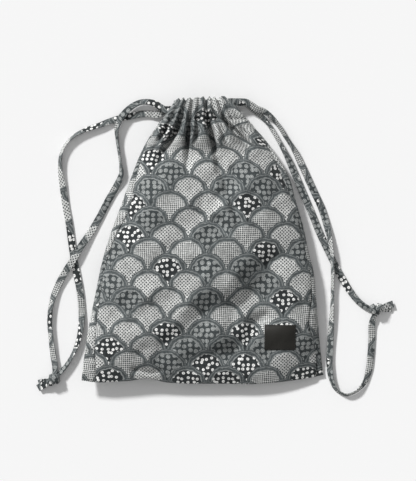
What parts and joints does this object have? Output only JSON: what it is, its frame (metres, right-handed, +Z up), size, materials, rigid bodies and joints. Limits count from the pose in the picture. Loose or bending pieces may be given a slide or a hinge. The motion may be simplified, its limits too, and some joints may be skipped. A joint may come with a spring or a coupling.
{
  "type": "drawstring bag",
  "caption": "Flat padded-out cloth pouch lying on its back, its gathered casing drawn up by flat self-fabric drawstrings that leave each side and end in knots, with a bare woven label.",
  "frame": {"origin": "on the table under the middle of the lying bag, cords left out", "axes": "+Y from the bottom fold to the gathered mouth, +X to the right of the front, +Z up out of the front panel"},
  "size_m": [0.357, 0.3011, 0.0277],
  "materials": {
    "printed_cloth": "thin plain-weave cloth, slate grey with a pale all-over print, matt",
    "cloth_strip": "the same printed cloth folded and stitched to a flat strip, matt",
    "woven_label": "close black ribbon weave, slight satin sheen"
  },
  "bodies": {
    "root": {"front_panel": "printed_cloth", "back_panel": "printed_cloth", "left_drawstring": "cloth_strip", "left_knot": "cloth_strip", "right_drawstring": "cloth_strip", "right_knot": "cloth_strip", "label": "woven_label"}
  },
  "joints": []
}
